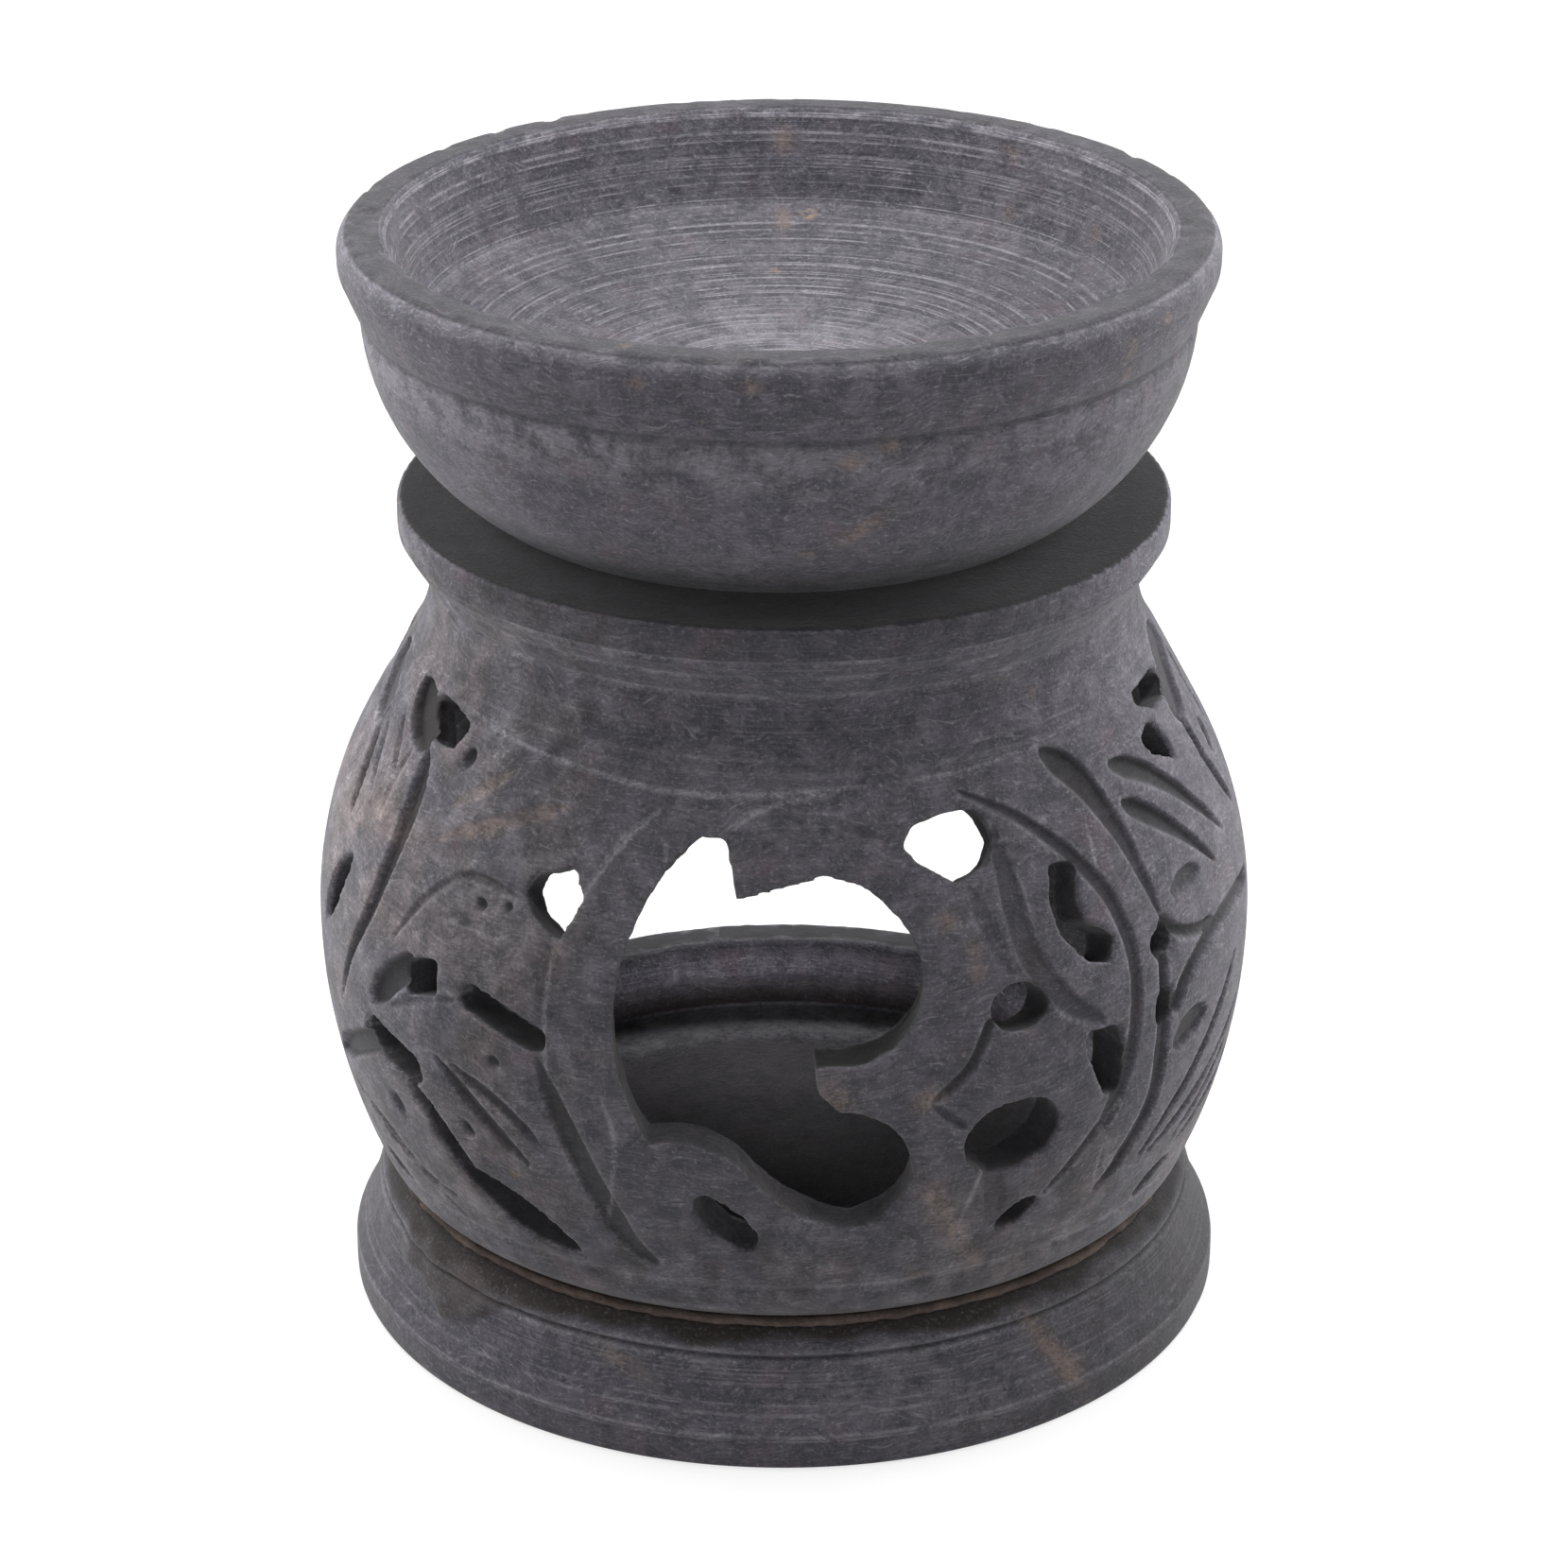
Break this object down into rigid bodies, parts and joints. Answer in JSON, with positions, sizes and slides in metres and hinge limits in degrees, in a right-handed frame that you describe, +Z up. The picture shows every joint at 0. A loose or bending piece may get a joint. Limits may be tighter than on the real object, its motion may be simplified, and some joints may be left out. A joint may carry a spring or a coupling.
{
  "type": "essential oil burner",
  "caption": "Turned stone oil burner: loose shallow bowl over a pierced, leaf-carved jar body on a flared base, with a lobed front window and an open back for a tealight.",
  "frame": {"origin": "centre of the base's flat underside", "axes": "+Z up along the turning axis, -Y towards the front window, +Y towards the open back"},
  "size_m": [0.0841, 0.0819, 0.1004],
  "materials": {
    "soapstone": "matt hand-turned soapstone with fine light scratches and a few rust-brown specks",
    "adhesive": "dark brown crumbly hardened adhesive"
  },
  "bodies": {
    "burner": {"base_plinth": "soapstone", "joint_adhesive": "adhesive", "burner_body": "soapstone"},
    "bowl": {"oil_bowl": "soapstone"}
  },
  "joints": [
    {"name": "bowl_lift", "type": "slide", "parent": "burner", "child": "bowl", "axis": [0, 0, 1], "range_m": [0, 0.06]}
  ]
}
